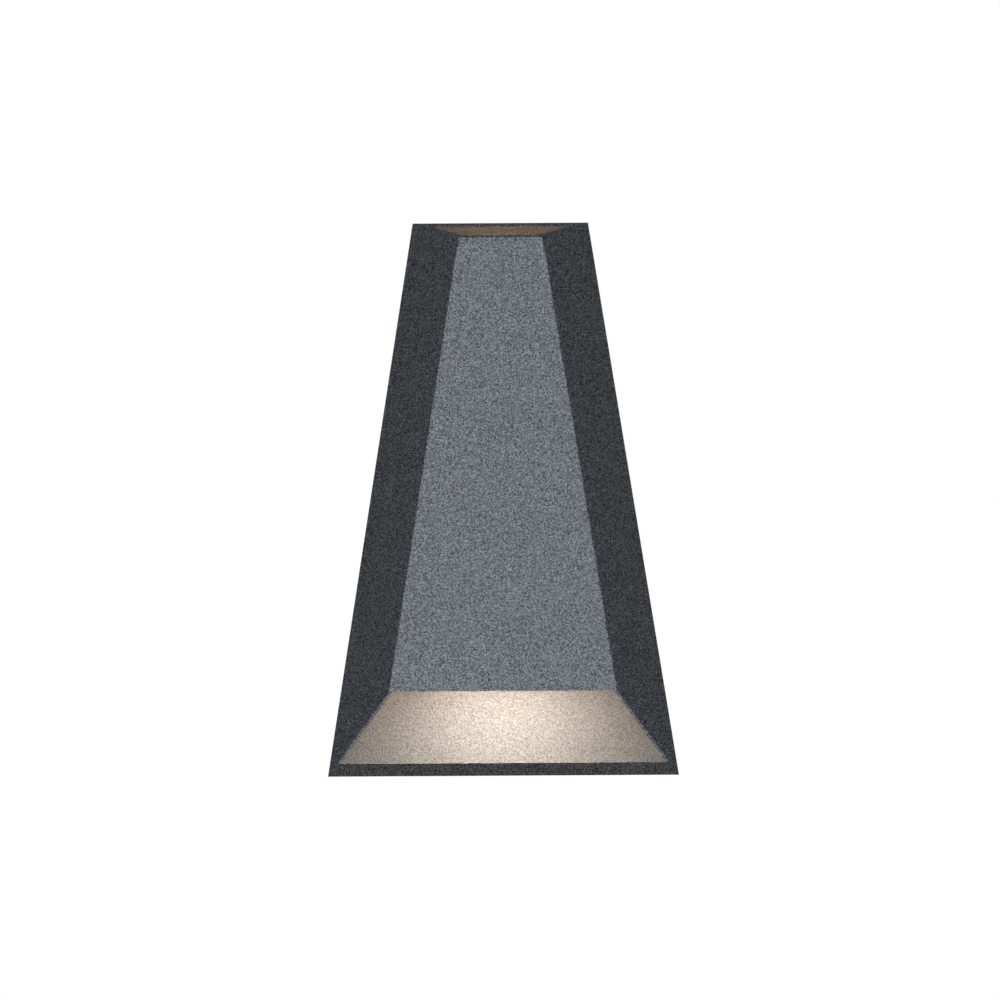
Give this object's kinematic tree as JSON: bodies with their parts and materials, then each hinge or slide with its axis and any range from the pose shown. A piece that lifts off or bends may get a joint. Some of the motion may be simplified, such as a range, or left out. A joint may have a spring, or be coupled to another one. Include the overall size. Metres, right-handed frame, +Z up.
{
  "type": "outdoor wall light",
  "caption": "Tapered, faceted outdoor wall light in textured grey metal, open at top and bottom, that washes the wall panel behind its shade with warm light.",
  "frame": {"origin": "on the wall plane, at the middle of the mounting strap's two slots", "axes": "+Z up, +Y into the wall, the light's front faces -Y, +X to the right seen from the front"},
  "size_m": [0.1776, 0.095, 0.2797],
  "materials": {
    "grey_paint": "fine sand-texture powder coat",
    "pan_paint": "fine sand-texture powder coat",
    "zinc_steel": "zinc-plated",
    "screw_steel": "stainless",
    "black_screws": "black oxide",
    "earth_green": "green-dyed zinc",
    "terminal_brass": "turned",
    "foam": "closed-cell foam",
    "rubber": "moulded",
    "silicone": "translucent white",
    "aluminium": "extruded",
    "board": "white solder mask",
    "phosphor": "silicone phosphor",
    "lens": "frosted",
    "driver_case": "moulded, fine spark texture",
    "terminal_plastic": "moulded",
    "lead_white": "extruded sheath",
    "lead_black": "extruded sheath",
    "clip_plastic": "moulded nylon"
  },
  "bodies": {
    "chassis": {"back_pan": "pan_paint", "block_screws": "screw_steel", "cable_grommet": "rubber", "clamp_screws": "terminal_brass", "driver_screws": "screw_steel", "earth_screw": "earth_green", "lead_clip": "clip_plastic", "led_driver": "driver_case", "lower_heat_sink": "aluminium", "lower_lead": "lead_white", "lower_led_board": "board", "lower_led_chip": "phosphor", "lower_lens": "lens", "lower_lens_ring": "grey_paint", "lower_lens_seal": "silicone", "lower_ring_screws": "black_screws", "lower_shelf": "grey_paint", "mounting_strap": "zinc_steel", "shelf_screws": "screw_steel", "strap_screws": "screw_steel", "supply_lead": "lead_black", "terminal_block": "terminal_plastic", "upper_heat_sink": "aluminium", "upper_lead": "lead_white", "upper_led_board": "board", "upper_led_chip": "phosphor", "upper_lens": "lens", "upper_lens_ring": "grey_paint", "upper_lens_seal": "silicone", "upper_ring_screws": "black_screws", "upper_shelf": "grey_paint", "wall_gasket": "foam"},
    "shade": {"shell": "grey_paint", "lower_cover_screws": "black_screws", "upper_cover_screws": "black_screws"}
  },
  "joints": [
    {"name": "shade_pull_off", "type": "slide", "parent": "chassis", "child": "shade", "axis": [0, -1, 0], "range_m": [0, 0.11]}
  ]
}
